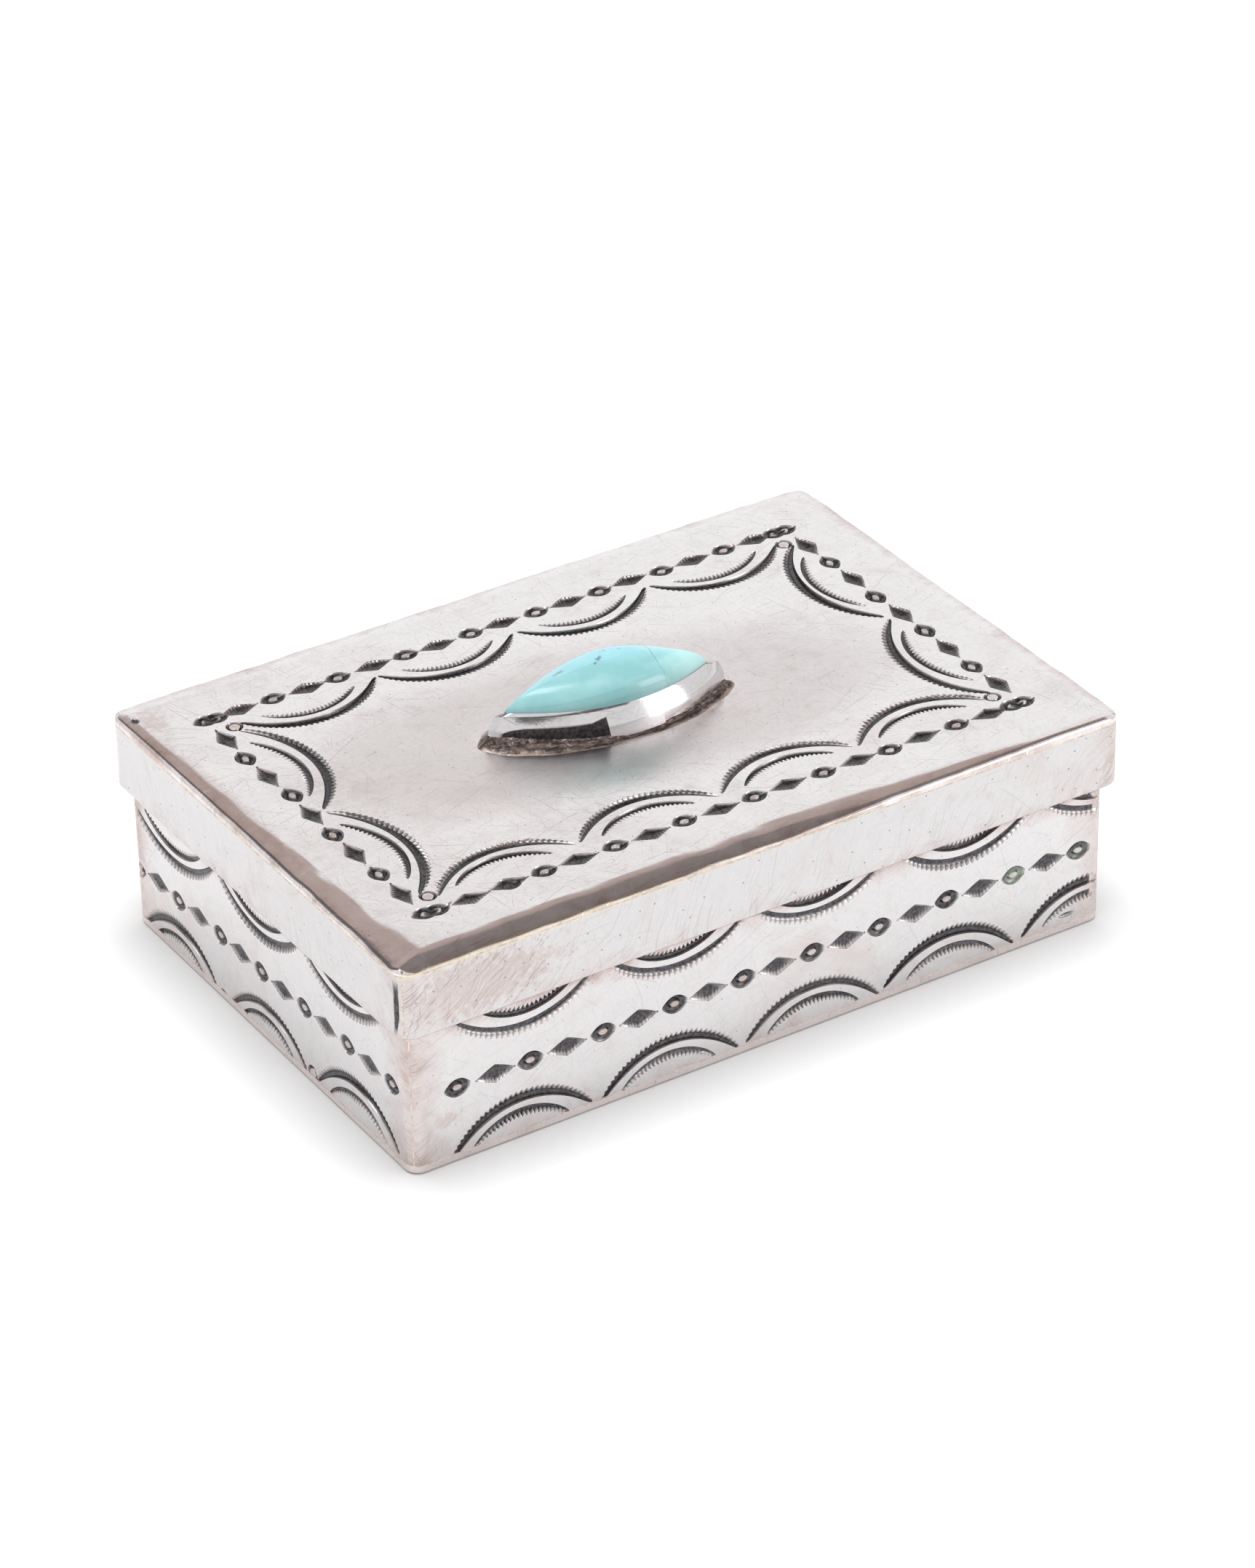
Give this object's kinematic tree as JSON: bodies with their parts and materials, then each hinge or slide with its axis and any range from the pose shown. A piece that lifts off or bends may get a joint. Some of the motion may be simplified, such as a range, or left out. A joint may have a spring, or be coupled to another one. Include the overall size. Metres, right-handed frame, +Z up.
{
  "type": "stamped silver box with a lift-off lid",
  "caption": "Rectangular hand-stamped silver keepsake box with a slip-over lift-off lid and a pointed oval turquoise set in a plain bezel at its middle.",
  "frame": {"origin": "middle of the base's underside, on the surface that the box stands on", "axes": "+Z up, +X along the long walls, -Y towards the front long wall"},
  "size_m": [0.095, 0.065, 0.0353],
  "materials": {
    "stamped_silver": "worn silver, polished by handling, with dark oxidised stamp marks",
    "plain_silver": "worn silver with fine scratches",
    "bezel_silver": "bright burnished fine silver",
    "silver_solder": "dull tarnished silver solder",
    "turquoise": "polished turquoise with a little brown matrix",
    "packing": "packed sawdust"
  },
  "bodies": {
    "box": {"front_wall": "stamped_silver", "back_wall": "stamped_silver", "left_wall": "stamped_silver", "right_wall": "stamped_silver", "base_plate": "plain_silver", "base_solder": "silver_solder", "wall_corner_solder": "silver_solder"},
    "lid": {"lid_top": "stamped_silver", "skirt_front": "plain_silver", "skirt_back": "plain_silver", "skirt_left": "plain_silver", "skirt_right": "plain_silver", "skirt_corner_solder": "silver_solder", "lid_solder": "silver_solder", "bezel_strip": "bezel_silver", "bezel_lap_solder": "silver_solder", "bezel_foot_solder": "silver_solder", "turquoise_stone": "turquoise", "stone_packing": "packing"}
  },
  "joints": [
    {"name": "lid_lift", "type": "slide", "parent": "box", "child": "lid", "axis": [0, 0, 1], "range_m": [0, 0.04]}
  ]
}
